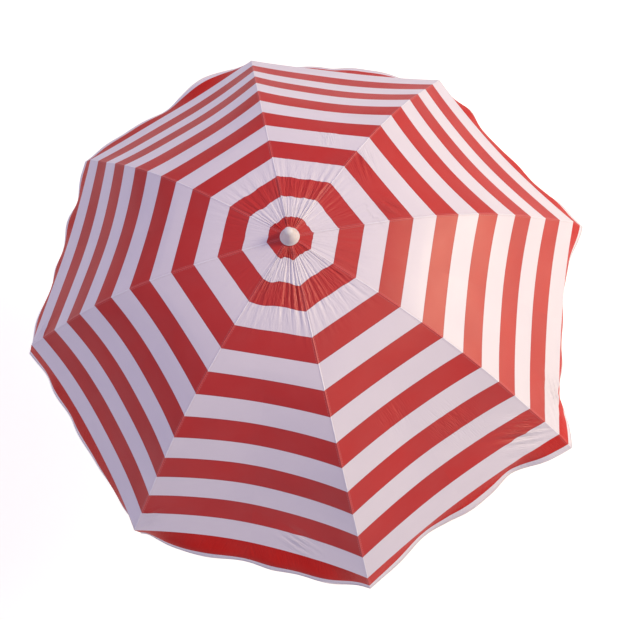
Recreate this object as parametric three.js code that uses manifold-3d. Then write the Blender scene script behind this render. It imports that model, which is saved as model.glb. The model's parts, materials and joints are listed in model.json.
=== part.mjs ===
// Beach umbrella: an eight-rib folding canopy on a pole with a height clamp and a tilt joint.
// Millimetres, +Z up. The origin is the point of the sand tip, on the pole's axis.
import * as THREE from "three";
import { mergeVertices } from "three/addons/utils/BufferGeometryUtils.js";
import Module from "manifold-3d";

const wasm = await Module();
wasm.setup();

// Canopy
const ribCount = 8;
const ribLength = 1000; // along the cloth, from the crown to a rib's tip
const crownHeight = 2090; // top of the cloth at the crown
const crownSlope = THREE.MathUtils.degToRad(81.4); // the cloth's angle from vertical at the crown
const hemSlope = THREE.MathUtils.degToRad(54.6); // and at the hem
const bendStart = 0.216 * ribLength; // a rib is straight, then an arc, then straight again
const bendEnd = 0.765 * ribLength;
const clothThickness = 1.2;
const clothGap = 0.3; // between two pieces of cloth that are sewn together
const panelPullIn = 35; // how far the hem's middle is drawn towards the crown
const panelSag = 24; // how far the middle of a panel sinks below the straight line between ribs
const valanceLength = 85;
const valanceFlareAtRib = THREE.MathUtils.degToRad(12); // from vertical
const valanceFlareAtMiddle = THREE.MathUtils.degToRad(46);

// Folding frame
const pivotRadius = 20; // hinge axes of the ribs and of the stretchers, from the mast's axis
const ribPivotHeight = crownHeight - 14;
const runnerPivotHeight = crownHeight - 330;
const stretcherJoint = new THREE.Vector2(440, crownHeight - 104); // radius and height
const ribDrop = 5.5; // from the top of the cloth to a rib's centre line
const ribRadius = 2.5;
const stretcherRadius = 2.2;
const flatWidth = 3; // the flattened ends of ribs and stretchers
const flatLength = 24;
const eyeRadius = 4.5;
const wireRadius = 1;
const wireClearance = 0.4;
const slotWidth = 4.6;
const flangeRadius = 25;
const slotStart = 15; // where the slots for the eyes begin
const studRadius = 4; // of the finial, through the cloth
const tipSetback = 8; // from the hem to the end of a rib
const lugHalfWidth = 5; // the lug under a rib that carries its stretcher

// Pole
const lowerPole = { outer: 12.7, inner: 11.7, bottom: 110.3, top: 800 };
const middlePole = { outer: 11, inner: 10, bottom: 600, top: 1062 };
const mastTube = { outer: 11, inner: 10, bottom: 1118.3, top: 2062 };
const plugRadius = 9.7; // of a fitting pushed into a tube
const plugLength = 30;
const touch = 0.3; // gap left between pieces that touch
const tiltHeight = 1090;
const knuckleRadius = 14;
const tongueWidth = 10;
const runnerLength = 44; // below its pivots
const catchLength = 14;
const catchHeight = runnerPivotHeight - runnerLength - 0.5 - catchLength / 2;
const catchWidth = 4;

const materials = {
  redCloth: { color: 0xb53a35, roughness: 0.85 },
  whiteCloth: { color: 0xe6ded8, roughness: 0.85 },
  whitePlastic: { color: 0xf2f0ec, roughness: 0.4 },
  redPlastic: { color: 0xa82420, roughness: 0.4 },
  steel: { color: 0xb9bcc0, roughness: 0.35, metalness: 0.9 },
  paintedTube: { color: 0xf0f0ee, roughness: 0.3, metalness: 0.2 },
};

const umbrella = new THREE.Group();

function addPart(parent, name, geometry, materialName) {
  const mesh = new THREE.Mesh(geometry, new THREE.MeshStandardMaterial(materials[materialName]));
  mesh.name = name;
  parent.add(mesh);
  return mesh;
}

// ---- Joining and cutting ----

function toSolid(geometry) {
  const bare = geometry.clone();
  bare.deleteAttribute("normal");
  bare.deleteAttribute("uv");
  const merged = mergeVertices(bare, 1e-4);
  return new wasm.Manifold(
    new wasm.Mesh({
      numProp: 3,
      vertProperties: merged.attributes.position.array,
      triVerts: new Uint32Array(merged.index.array),
    }),
  );
}

function toGeometry(solid) {
  const mesh = solid.getMesh();
  const geometry = new THREE.BufferGeometry();
  geometry.setAttribute("position", new THREE.BufferAttribute(mesh.vertProperties, 3));
  geometry.setIndex(new THREE.BufferAttribute(mesh.triVerts, 1));
  geometry.computeVertexNormals();
  return geometry;
}

function join(geometries) {
  return toGeometry(geometries.map(toSolid).reduce((whole, piece) => whole.add(piece)));
}

function cut(geometry, tools) {
  return toGeometry(tools.map(toSolid).reduce((whole, tool) => whole.subtract(tool), toSolid(geometry)));
}

// ---- Plain shapes ----

// A turned shape round the Z axis from its outline of [radius, height] points.
function turned(outline, sides = 20) {
  const points = outline.map(([radius, height]) => new THREE.Vector2(radius, height));
  return new THREE.LatheGeometry(points, sides).rotateX(Math.PI / 2);
}

function tube({ outer, inner, bottom, top }) {
  return turned([
    [inner, bottom],
    [outer, bottom],
    [outer, top],
    [inner, top],
    [inner, bottom],
  ]);
}

// A box from its lowest to its highest corner.
function block(low, high) {
  const size = high.map((value, i) => value - low[i]);
  const centre = high.map((value, i) => (value + low[i]) / 2);
  return new THREE.BoxGeometry(...size).translate(...centre);
}

// A rod across the given point, along X or Y.
function crossRod(axis, radius, length, [x, y, z], sides = 10) {
  const rod = new THREE.CylinderGeometry(radius, radius, length, sides);
  if (axis === "x") rod.rotateZ(Math.PI / 2);
  return rod.translate(x, y, z);
}

function rodAlong(points, radius, steps) {
  const section = new THREE.Shape().absarc(0, 0, radius, 0, 2 * Math.PI);
  return new THREE.ExtrudeGeometry(section, {
    steps,
    curveSegments: 3,
    bevelEnabled: false,
    extrudePath: points.length > 2 ? new THREE.CatmullRomCurve3(points) : new THREE.LineCurve3(...points),
  });
}

// The wire ring that carries eight eyes: an octagon whose sides are the hinge axes.
function wireRing(radius, height) {
  const half = Math.PI / ribCount;
  const ring = new THREE.TorusGeometry(pivotRadius / Math.cos(half), radius, 6, ribCount);
  return ring.rotateZ(half).translate(0, 0, height);
}

// Eight radial slots for the eyes, and the round tunnel for the wire.
function hingeCuts(slotStart, bottom, top, pivotHeight) {
  const slots = [];
  for (let i = 0; i < ribCount; i++) {
    const slot = block([slotStart, -slotWidth / 2, bottom], [flangeRadius + 2, slotWidth / 2, top]);
    slots.push(slot.rotateZ((i * 2 * Math.PI) / ribCount));
  }
  return [...slots, wireRing(wireRadius + wireClearance, pivotHeight)];
}

// ---- Cloth surface ----

// The cloth's angle from vertical above a rib, s millimetres from the crown.
function slopeAt(s) {
  const part = THREE.MathUtils.clamp((s - bendStart) / (bendEnd - bendStart), 0, 1);
  return THREE.MathUtils.lerp(crownSlope, hemSlope, part);
}

// Radius and height of the cloth above a rib.
function clothOverRib(s) {
  const turn = (crownSlope - hemSlope) / (bendEnd - bendStart);
  const first = Math.min(s, bendStart);
  const arcSlope = slopeAt(s);
  const last = Math.max(s - bendEnd, 0);
  const arcRadius = (Math.cos(arcSlope) - Math.cos(crownSlope)) / turn;
  const arcHeight = (Math.sin(arcSlope) - Math.sin(crownSlope)) / turn;
  const radius = first * Math.sin(crownSlope) + arcRadius + last * Math.sin(hemSlope);
  const drop = first * Math.cos(crownSlope) - arcHeight + last * Math.cos(hemSlope);
  return new THREE.Vector2(radius, crownHeight - drop);
}

// The middle of a rib's rod, under the cloth.
function ribCentre(s) {
  const slope = slopeAt(s);
  const { x, y } = clothOverRib(s);
  return new THREE.Vector3(x - ribDrop * Math.cos(slope), 0, y - ribDrop * Math.sin(slope));
}

// A point of the cloth. across runs from -1 to 1, with 0 on the rib and the ends at mid-panel.
function clothPoint(s, across) {
  const half = Math.PI / ribCount;
  const side = Math.sign(across);
  const away = Math.abs(across);
  const over = clothOverRib(s);
  const slope = slopeAt(s);
  const outer = THREE.MathUtils.clamp((s / ribLength - 0.35) / 0.65, 0, 1);
  const pullIn = panelPullIn * Math.pow(outer, 1.2);
  const sag = panelSag * Math.sin((Math.PI * Math.max(s / ribLength - 0.4, 0)) / 0.7);
  const weight = 2 * away - away * away;
  const inward = weight * (pullIn * Math.sin(slope) + sag * Math.cos(slope));
  const upward = weight * (pullIn * Math.cos(slope) - sag * Math.sin(slope));
  const x = over.x * (1 - away * Math.sin(half) ** 2) - inward * Math.cos(half);
  const y = side * (away * over.x * Math.sin(half) * Math.cos(half) - inward * Math.sin(half));
  return new THREE.Vector3(x, y, over.y + upward);
}

// Moves a point away from the mid-panel plane, so that neighbouring gores don't touch.
function clearOfMidPanel(point, across) {
  const half = Math.PI / ribCount;
  const shift = (clothGap / 2) * Math.abs(across);
  point.x += shift * Math.sin(half);
  point.y -= Math.sign(across) * shift * Math.cos(half);
  return point;
}

// A closed sheet between an outer and an inner surface, both given as point(i, j) on a grid.
function sheet(rows, columns, outerPoint, innerPoint) {
  const positions = [];
  const index = [];
  const layer = (rows + 1) * (columns + 1);
  for (const pointAt of [outerPoint, innerPoint])
    for (let i = 0; i <= rows; i++)
      for (let j = 0; j <= columns; j++) positions.push(...pointAt(i, j).toArray());
  const outer = (i, j) => i * (columns + 1) + j;
  const inner = (i, j) => layer + outer(i, j);
  const quad = (a, b, c, d) => index.push(a, b, c, a, c, d);
  for (let i = 0; i < rows; i++)
    for (let j = 0; j < columns; j++) {
      quad(outer(i, j), outer(i + 1, j), outer(i + 1, j + 1), outer(i, j + 1));
      quad(inner(i, j), inner(i, j + 1), inner(i + 1, j + 1), inner(i + 1, j));
    }
  for (let j = 0; j < columns; j++) {
    quad(outer(0, j), outer(0, j + 1), inner(0, j + 1), inner(0, j));
    quad(outer(rows, j + 1), outer(rows, j), inner(rows, j), inner(rows, j + 1));
  }
  for (let i = 0; i < rows; i++) {
    quad(outer(i + 1, 0), outer(i, 0), inner(i, 0), inner(i + 1, 0));
    quad(outer(i, columns), outer(i + 1, columns), inner(i + 1, columns), inner(i, columns));
  }
  const geometry = new THREE.BufferGeometry();
  geometry.setAttribute("position", new THREE.Float32BufferAttribute(positions, 3));
  geometry.setIndex(index);
  geometry.computeVertexNormals();
  return geometry;
}

// ---- Canopy: the cloth over one rib, out to the middle of the panels beside it ----

function gore() {
  const rows = 10;
  const columns = 6;
  const start = 2 * studRadius; // hole for the finial's stud
  const at = (i, j) => [THREE.MathUtils.lerp(start, ribLength, i / rows), (2 * j) / columns - 1];
  const outer = (i, j) => {
    const [s, across] = at(i, j);
    return clearOfMidPanel(clothPoint(s, across), across);
  };
  const inner = (i, j) => {
    const [s, across] = at(i, j);
    const step = new THREE.Vector3().subVectors(clothPoint(s + 1, across), clothPoint(s - 1, across));
    // At mid-panel the cloth is level across, so its tangent is square to the mid-panel plane.
    const middleTurn = (Math.PI / ribCount) * across;
    const sideways = new THREE.Vector3(-Math.sin(middleTurn), Math.cos(middleTurn), 0);
    const normal = new THREE.Vector3().crossVectors(step, sideways).normalize();
    return outer(i, j).addScaledVector(normal, -clothThickness);
  };
  return sheet(rows, columns, outer, inner);
}

// The valance: a strip that hangs from the hem, nearly upright at the ribs and flared between them.
function valance() {
  const columns = 6;
  const place = (j) => {
    const across = (2 * j) / columns - 1;
    const away = Math.abs(across);
    const flare = THREE.MathUtils.lerp(valanceFlareAtRib, valanceFlareAtMiddle, 2 * away - away * away);
    const turn = (Math.PI / ribCount) * across;
    const outward = new THREE.Vector3(Math.cos(turn), Math.sin(turn), 0);
    return { across, flare, outward };
  };
  const outer = (i, j) => {
    const { across, flare, outward } = place(j);
    const length = i ? valanceLength : 5 * clothGap;
    const hem = clearOfMidPanel(clothPoint(ribLength, across), across);
    hem.z -= length * Math.cos(flare);
    return hem.addScaledVector(outward, length * Math.sin(flare));
  };
  const inner = (i, j) => {
    const { flare, outward } = place(j);
    const point = outer(i, j).addScaledVector(outward, -clothThickness * Math.cos(flare));
    point.z -= clothThickness * Math.sin(flare);
    return point;
  };
  return sheet(1, columns, outer, inner);
}

// ---- Ribs and stretchers, lying in the XZ plane ----

// A flat bar with a pierced eye at its start, that runs towards the far point.
function flatEnd(eye, towards, barLength) {
  const along = new THREE.Vector3().subVectors(towards, eye).normalize();
  const tilt = Math.atan2(along.x, along.z);
  const bar = new THREE.BoxGeometry(2 * ribRadius, flatWidth, barLength)
    .translate(0, 0, barLength / 2)
    .rotateY(tilt)
    .translate(...eye.toArray());
  const disc = crossRod("y", eyeRadius, flatWidth, eye.toArray());
  const hole = crossRod("y", wireRadius + wireClearance, 2 * flatWidth, eye.toArray(), 8);
  return cut(join([bar, disc]), [hole]);
}

function rib() {
  const pivot = new THREE.Vector3(pivotRadius, 0, ribPivotHeight);
  const points = [];
  for (let s = 0.1 * ribLength; s < ribLength; s += 0.05 * ribLength) points.push(ribCentre(s));
  points.push(ribCentre(ribLength - tipSetback));
  const end = flatEnd(pivot, points[0], flatLength);
  const rodStart = pivot.clone().lerp(points[0], (flatLength - 4) / pivot.distanceTo(points[0]));
  const rod = rodAlong([rodStart, ...points], ribRadius, 14);
  const joint = new THREE.Vector3(stretcherJoint.x, 0, stretcherJoint.y);
  const lug = block([joint.x - lugHalfWidth, -1.2, joint.z], [joint.x + lugHalfWidth, 1.2, joint.z + 7]);
  const lugEnd = crossRod("y", lugHalfWidth, 2.4, joint.toArray());
  const rivetHole = crossRod("y", 1.5, 2 * flatWidth, joint.toArray(), 8);
  return cut(join([end, rod, lug, lugEnd]), [rivetHole]);
}

function ribTip() {
  const radius = 3.6;
  const outline = [
    [ribRadius + touch, -18],
    [radius, -18],
    [radius, 0],
    [radius * 0.7, radius * 0.7],
    [0, radius],
    [0, 1],
    [ribRadius + touch, 1],
    [ribRadius + touch, -18],
  ];
  const end = ribCentre(ribLength - tipSetback);
  return turned(outline, 10).rotateY(Math.PI - hemSlope).translate(...end.toArray());
}

function stretcher() {
  const foot = new THREE.Vector3(pivotRadius, 0, runnerPivotHeight);
  const head = new THREE.Vector3(stretcherJoint.x, 0, stretcherJoint.y);
  const length = foot.distanceTo(head);
  const tilt = Math.atan2(head.x - foot.x, head.z - foot.z);
  const rod = rodAlong(
    [foot.clone().lerp(head, (flatLength - 4) / length), foot.clone().lerp(head, 1 - 14 / length)],
    stretcherRadius,
    1,
  );
  const cheek = (side) =>
    new THREE.BoxGeometry(7, 1.4, 20)
      .translate(0, side * 2.5, -6)
      .rotateY(tilt)
      .translate(...head.toArray());
  const bridge = new THREE.BoxGeometry(7, 6.4, 4)
    .translate(0, 0, -14)
    .rotateY(tilt)
    .translate(...head.toArray());
  const rivet = crossRod("y", 1.2, 7.6, head.toArray(), 8);
  return join([flatEnd(foot, head, flatLength), rod, cheek(-1), cheek(1), bridge, rivet]);
}

for (let i = 0; i < ribCount; i++) {
  const spoke = new THREE.Group();
  spoke.rotation.z = (i * 2 * Math.PI) / ribCount;
  umbrella.add(spoke);
  addPart(spoke, `gore_${i + 1}`, gore(), "redCloth");
  addPart(spoke, `valance_${i + 1}`, valance(), "whiteCloth");
  addPart(spoke, `rib_${i + 1}`, rib(), "steel");
  addPart(spoke, `rib_tip_${i + 1}`, ribTip(), "whitePlastic");
  addPart(spoke, `stretcher_${i + 1}`, stretcher(), "steel");
}

// ---- Crown: the slotted hub on the mast, its wire ring, washer and finial ----

const hubTop = ribPivotHeight + 6;
const hubBody = turned([
  [0, mastTube.top - plugLength],
  [plugRadius, mastTube.top - plugLength],
  [plugRadius, mastTube.top + touch],
  [knuckleRadius, mastTube.top + touch],
  [knuckleRadius, ribPivotHeight - 10],
  [flangeRadius, ribPivotHeight - 10],
  [flangeRadius, hubTop],
  [studRadius + touch, hubTop],
  [studRadius + touch, mastTube.top - 2],
  [0, mastTube.top - 2],
]);
const hub = cut(hubBody, hingeCuts(slotStart, ribPivotHeight - 12, hubTop + 2, ribPivotHeight));
addPart(umbrella, "crown_hub", hub, "whitePlastic");
addPart(umbrella, "crown_ring", wireRing(wireRadius, ribPivotHeight), "steel");
const washer = tube({
  outer: flangeRadius + 1,
  inner: studRadius + touch,
  bottom: hubTop + touch,
  top: hubTop + 1.8,
});
addPart(umbrella, "crown_washer", washer, "steel");

const finialRadius = 27.5;
const finialHeight = 41; // above the crown of the cloth

function finial() {
  const radius = finialRadius;
  const rise = 1 / Math.tan(crownSlope);
  const under = (r) => crownHeight + 0.5 - r * rise; // just above the cloth
  return turned([
    [0, mastTube.top],
    [studRadius, mastTube.top],
    [studRadius, under(studRadius)],
    [radius, under(radius)],
    [radius, under(radius) + 3],
    [radius - 2, under(radius) + 6],
    [0.69 * radius, crownHeight + 0.25 * finialHeight],
    [0.55 * radius, crownHeight + 0.54 * finialHeight],
    [0.4 * radius, crownHeight + 0.8 * finialHeight],
    [0.22 * radius, crownHeight + 0.95 * finialHeight],
    [0, crownHeight + finialHeight],
  ]);
}
addPart(umbrella, "finial", finial(), "whitePlastic");

// ---- Mast, runner and catch ----

const catchPocket = block(
  [-catchWidth / 2 - 0.4, 5, catchHeight - catchLength / 2 - 0.5],
  [catchWidth / 2 + 0.4, 15, catchHeight + catchLength / 2 + 0.5],
);
addPart(umbrella, "mast", cut(tube(mastTube), [catchPocket]), "paintedTube");

const runnerBore = mastTube.outer + 0.4;
const runnerRadius = 15;
const runnerFoot = runnerPivotHeight - runnerLength;
const runnerBody = turned([
  [runnerBore, runnerFoot],
  [runnerRadius + 2, runnerFoot],
  [runnerRadius + 2, runnerFoot + 6],
  [runnerRadius, runnerFoot + 10],
  [runnerRadius, runnerPivotHeight - 10],
  [flangeRadius, runnerPivotHeight - 8],
  [flangeRadius, runnerPivotHeight + 6],
  [runnerBore, runnerPivotHeight + 6],
  [runnerBore, runnerFoot],
]);
const runnerCuts = hingeCuts(slotStart, runnerPivotHeight - 12, runnerPivotHeight + 8, runnerPivotHeight);
addPart(umbrella, "runner", cut(runnerBody, runnerCuts), "whitePlastic");
addPart(umbrella, "runner_ring", wireRing(wireRadius, runnerPivotHeight), "steel");

// The sprung catch under the runner stands out of a slot in the mast, on its +Y side.
function runnerCatch() {
  const back = 7;
  const front = mastTube.outer + 3.6;
  const side = new THREE.Shape();
  side.moveTo(back, -catchLength / 2);
  side.lineTo(mastTube.outer, -catchLength / 2);
  side.lineTo(front, catchLength / 2 - 2);
  side.lineTo(front, catchLength / 2);
  side.lineTo(back, catchLength / 2);
  const body = new THREE.ExtrudeGeometry(side, { depth: catchWidth, bevelEnabled: false });
  return body.translate(0, 0, -catchWidth / 2).rotateX(Math.PI / 2).rotateZ(Math.PI / 2);
}
addPart(umbrella, "catch_button", runnerCatch().translate(0, 0, catchHeight), "steel");

// ---- Tilt joint: a forked base, a tongue on the mast, the pin and the release button ----

const earRadius = knuckleRadius - 1;
const pinRadius = 3;
const buttonRadius = 4.5;
const buttonHeight = tiltHeight - 21;

function tiltBase() {
  const bodyTop = tiltHeight - knuckleRadius;
  const body = turned([
    [0, middlePole.top - plugLength],
    [plugRadius, middlePole.top - plugLength],
    [plugRadius, middlePole.top + touch],
    [knuckleRadius, middlePole.top + touch],
    [knuckleRadius, bodyTop],
    [0, bodyTop],
  ]);
  const ear = (side) => {
    const inner = side * (tongueWidth / 2 + touch);
    const outer = side * (knuckleRadius - 3);
    const plate = block(
      [Math.min(inner, outer), -earRadius, bodyTop - 1],
      [Math.max(inner, outer), earRadius, tiltHeight],
    );
    const round = crossRod("x", earRadius, Math.abs(outer - inner), [(inner + outer) / 2, 0, tiltHeight], 20);
    return join([plate, round]);
  };
  const pinHole = crossRod("x", pinRadius + touch, 60, [0, 0, tiltHeight]);
  const buttonPocket = crossRod("y", buttonRadius + touch, 20, [0, -15, buttonHeight]);
  return cut(join([body, ear(-1), ear(1)]), [pinHole, buttonPocket]);
}

function tiltHead() {
  const bodyBottom = tiltHeight + knuckleRadius;
  const body = turned([
    [0, bodyBottom],
    [knuckleRadius, bodyBottom],
    [knuckleRadius, mastTube.bottom - touch],
    [plugRadius, mastTube.bottom - touch],
    [plugRadius, mastTube.bottom + plugLength],
    [0, mastTube.bottom + plugLength],
  ]);
  const half = tongueWidth / 2;
  const tongue = block([-half, -10, tiltHeight], [half, 10, bodyBottom + 1]);
  const round = crossRod("x", earRadius, tongueWidth, [0, 0, tiltHeight], 20);
  const pinHole = crossRod("x", pinRadius + touch, 60, [0, 0, tiltHeight]);
  return cut(join([body, tongue, round]), [pinHole]);
}

function tiltPin() {
  const shank = crossRod("x", pinRadius, 2 * knuckleRadius - 4, [0, 0, tiltHeight]);
  const head = (side) => crossRod("x", pinRadius + 2, 2, [side * (knuckleRadius - 1.7), 0, tiltHeight]);
  return join([shank, head(-1), head(1)]);
}

addPart(umbrella, "tilt_base", tiltBase(), "whitePlastic");
addPart(umbrella, "tilt_head", tiltHead(), "whitePlastic");
addPart(umbrella, "tilt_pin", tiltPin(), "steel");
const tiltButton = crossRod("y", buttonRadius, 9, [0, -14.5, buttonHeight], 16);
addPart(umbrella, "tilt_button", tiltButton, "redPlastic");

// ---- Lower pole: tubes, clamp and sand tip ----

addPart(umbrella, "middle_pole", tube(middlePole), "paintedTube");
addPart(umbrella, "lower_pole", tube(lowerPole), "paintedTube");

const collarTop = lowerPole.top + 26;
const collarFoot = lowerPole.top - 36;
const collarRadius = 18;
const screwHeight = (lowerPole.top + collarTop) / 2;
const screwRadius = 3;
const bossRadius = 8;
const wingLength = 28;
const collarBody = turned([
  [lowerPole.outer + touch, collarFoot],
  [collarRadius - 1, collarFoot],
  [collarRadius, collarFoot + 6],
  [collarRadius, collarTop - 3],
  [collarRadius - 2, collarTop],
  [middlePole.outer + touch, collarTop],
  [middlePole.outer + touch, lowerPole.top + touch],
  [lowerPole.outer + touch, lowerPole.top + touch],
  [lowerPole.outer + touch, collarFoot],
]);
const screwBoss = crossRod("x", bossRadius, 12, [collarRadius + 2, 0, screwHeight], 16);
const boreSpace = turned([
  [0, lowerPole.top + touch],
  [middlePole.outer + touch, lowerPole.top + touch],
  [middlePole.outer + touch, collarTop + 5],
  [0, collarTop + 5],
]);
const screwHole = crossRod("x", screwRadius + touch, 30, [collarRadius + 6, 0, screwHeight]);
const collar = cut(join([collarBody, screwBoss]), [boreSpace, screwHole]);
addPart(umbrella, "clamp_collar", collar, "whitePlastic");

// The clamp screw and its knob with four wings.
function clampKnob() {
  const shank = crossRod("x", screwRadius, 19, [collarRadius + 3, 0, screwHeight]);
  const head = crossRod("x", bossRadius, 10, [34.5, 0, screwHeight], 16);
  const wings = [0, 1].map((quarter) =>
    new THREE.BoxGeometry(8, wingLength, 5)
      .rotateX((quarter * Math.PI) / 2)
      .translate(35.5, 0, screwHeight),
  );
  return join([shank, head, ...wings]);
}
addPart(umbrella, "clamp_knob", clampKnob(), "redPlastic");

const sandTip = turned([
  [0, 0],
  [3, 0],
  [8, 30],
  [lowerPole.outer, lowerPole.bottom - touch],
  [lowerPole.inner - touch, lowerPole.bottom - touch],
  [lowerPole.inner - touch, lowerPole.bottom + 40],
  [0, lowerPole.bottom + 40],
]);
addPart(umbrella, "sand_tip", sandTip, "whitePlastic");

export default umbrella;
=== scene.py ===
import json
import math

import bmesh
import bpy
from mathutils import Matrix, Vector, noise


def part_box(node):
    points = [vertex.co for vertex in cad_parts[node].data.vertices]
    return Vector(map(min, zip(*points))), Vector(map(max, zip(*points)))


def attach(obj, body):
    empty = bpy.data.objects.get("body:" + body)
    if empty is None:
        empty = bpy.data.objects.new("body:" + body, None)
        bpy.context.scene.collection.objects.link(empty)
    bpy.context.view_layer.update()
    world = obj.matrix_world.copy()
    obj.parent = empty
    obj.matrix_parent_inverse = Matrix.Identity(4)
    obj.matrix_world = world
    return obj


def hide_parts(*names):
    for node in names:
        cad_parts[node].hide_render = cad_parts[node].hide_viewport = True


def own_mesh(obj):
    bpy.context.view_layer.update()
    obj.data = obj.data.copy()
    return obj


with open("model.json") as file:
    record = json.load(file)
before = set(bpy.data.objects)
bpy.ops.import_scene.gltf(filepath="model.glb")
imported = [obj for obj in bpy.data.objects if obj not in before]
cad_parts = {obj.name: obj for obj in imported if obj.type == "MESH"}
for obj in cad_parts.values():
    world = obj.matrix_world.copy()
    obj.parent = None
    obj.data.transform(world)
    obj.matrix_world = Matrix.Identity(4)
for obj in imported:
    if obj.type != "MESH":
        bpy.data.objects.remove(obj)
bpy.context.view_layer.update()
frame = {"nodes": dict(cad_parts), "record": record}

# Metres, +Z up, the sand tip at the origin. Rib 1 points along +X and the others follow anticlockwise.
scene = bpy.context.scene
nodes = frame["nodes"]
ribNumbers = range(1, 9)

# the open cloth: what sets its shape
cloth = {
    "ribLength": 1.0,       # along a rib, from the crown to the tip
    "crownHole": 0.008,
    "patch": 0.026,         # the cloth inside this stays on the mast, under the knob
    "crownSlope": 81.4,     # degrees from vertical at the crown
    "hemSlope": 54.6,       # and at the hem
    "bendStart": 0.216,     # a rib is straight, then an arc, then straight again
    "bendEnd": 0.765,
    "pullIn": 0.035,        # how far the hem's middle is drawn towards the crown
    "sag": 0.024,           # how far a panel's middle sinks below its ribs
    "thickness": 0.0006,
    "stripes": 14,
    "shift": 0.006,         # how far the first stripes lie nearer to the crown than even ones
    "lengths": 7,           # each gore is cut at every second stripe, so that it can fold
    "rowsPerLength": 20,
    "columns": 54,
    "drift": 0.008,         # how far the stripes waver where the cloth is gathered
}
crownFall = cloth["crownHole"] * math.cos(math.radians(cloth["crownSlope"]))
cloth["crownHeight"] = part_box("gore_1")[1].z + crownFall
halfPanel = math.pi / len(ribNumbers)


def clear():
    bpy.ops.object.select_all(action="DESELECT")


def mix(a, b, t):
    return a + (b - a) * t


def smooth(low, high, x):
    t = max(0.0, min(1.0, (x - low) / (high - low)))
    return t * t * (3 - 2 * t)


view = {
    "place": (0.0182, -0.7190, 3.6282),
    "aim": (0.0091, -0.1781, 1.97),
    "roll": -13.73,
    "lens": 36.18,
}


def makeCamera():
    bpy.ops.object.camera_add(location=view["place"])
    camera = bpy.context.object
    camera.name = "camera"
    look = Vector(view["aim"]) - Vector(view["place"])
    turn = look.to_track_quat("-Z", "Y").to_matrix() @ Matrix.Rotation(math.radians(view["roll"]), 3, "Z")
    camera.rotation_euler = turn.to_euler()
    camera.data.lens = view["lens"]
    camera.data.sensor_width = 36
    scene.camera = camera


# azimuth and elevation in degrees; distance and size in metres; power in watts
lights = [
    {"name": "key", "at": (-3, 35), "distance": 8.0, "size": 2.4, "power": 465, "colour": (1.0, 0.87, 0.60)},
    {"name": "fill", "at": (75, 62), "distance": 6.0, "size": 4.0, "power": 45, "colour": (0.72, 0.64, 1.0)},
    {"name": "side", "at": (160, 45), "distance": 6.0, "size": 4.0, "power": 42, "colour": (1.0, 0.90, 0.95)},
]


skyLight = {
    "colour": (0.74, 0.68, 1.0),
    "strength": 0.48,
    "paper": (0.88, 0.88, 0.90),    # what the camera sees behind the umbrella
}


def makeLights():
    for light in lights:
        a, e = [math.radians(angle) for angle in light["at"]]
        away = Vector((math.cos(a) * math.cos(e), math.sin(a) * math.cos(e), math.sin(e)))
        place = Vector((0, 0, 1.7)) + away * light["distance"]
        facing = away.to_track_quat("Z", "Y").to_euler()
        bpy.ops.object.light_add(type="AREA", location=place, rotation=facing)
        lamp = bpy.context.object
        lamp.name = light["name"]
        lamp.data.shape = "DISK"
        lamp.data.size = light["size"]
        lamp.data.energy = light["power"]
        lamp.data.color = light["colour"]
        lamp.visible_glossy = light["name"] == "key"    # only the sun makes highlights
    world = bpy.data.worlds.new("sky")
    world.use_nodes = True
    tree = world.node_tree
    sky = tree.nodes["Background"]
    sky.inputs["Color"].default_value = (*skyLight["colour"], 1)
    sky.inputs["Strength"].default_value = skyLight["strength"]
    # the sky lights the scene as shade does, and looks like pale paper behind it
    paper = addNode(tree, "ShaderNodeBackground")
    paper.inputs["Color"].default_value = (*skyLight["paper"], 1)
    seen = addNode(tree, "ShaderNodeLightPath")
    both = addNode(tree, "ShaderNodeMixShader")
    tree.links.new(seen.outputs["Is Camera Ray"], both.inputs[0])
    tree.links.new(sky.outputs[0], both.inputs[1])
    tree.links.new(paper.outputs[0], both.inputs[2])
    tree.links.new(both.outputs[0], tree.nodes["World Output"].inputs["Surface"])
    world.cycles_visibility.glossy = False    # a reflected sky would veil the reds of the far panels
    scene.world = world
    scene.view_settings.view_transform = "Standard"


def newMaterial(name):
    material = bpy.data.materials.new(name)
    material.use_nodes = True
    tree = material.node_tree
    return material, tree, tree.nodes["Principled BSDF"]


def addNode(tree, kind, **settings):
    node = tree.nodes.new(kind)
    for key, value in settings.items():
        setattr(node, key, value)
    return node


def maths(tree, operation, first, second=None, third=None, clamp=False):
    node = addNode(tree, "ShaderNodeMath", operation=operation, use_clamp=clamp)
    for socket, value in zip(node.inputs, (first, second, third)):
        if value is None:
            continue
        if isinstance(value, (int, float)):
            socket.default_value = value
        else:
            tree.links.new(value, socket)
    return node.outputs[0]


def mixColours(tree, share, first, second, blend="MIX"):
    node = addNode(tree, "ShaderNodeMix", data_type="RGBA", blend_type=blend)
    for index, value in ((0, share), (6, first), (7, second)):
        if isinstance(value, (int, float)):
            node.inputs[index].default_value = value
        elif isinstance(value, tuple):
            node.inputs[index].default_value = (*value, 1)
        else:
            tree.links.new(value, node.inputs[index])
    return node.outputs[2]


def newGroup(name, inputs, outputs):
    group = bpy.data.node_groups.new(name, "ShaderNodeTree")
    for label, kind, value in inputs:
        socket = group.interface.new_socket(label, in_out="INPUT", socket_type="NodeSocket" + kind)
        if value is not None:
            socket.default_value = value
    for label, kind in outputs:
        group.interface.new_socket(label, in_out="OUTPUT", socket_type="NodeSocket" + kind)
    return group, group.nodes.new("NodeGroupInput"), group.nodes.new("NodeGroupOutput")


def placeGroup(tree, group, **values):
    node = tree.nodes.new("ShaderNodeGroup")
    node.node_tree = group
    for label, value in values.items():
        if hasattr(value, "is_linked"):
            tree.links.new(value, node.inputs[label])
        else:
            node.inputs[label].default_value = value
    return node


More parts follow.
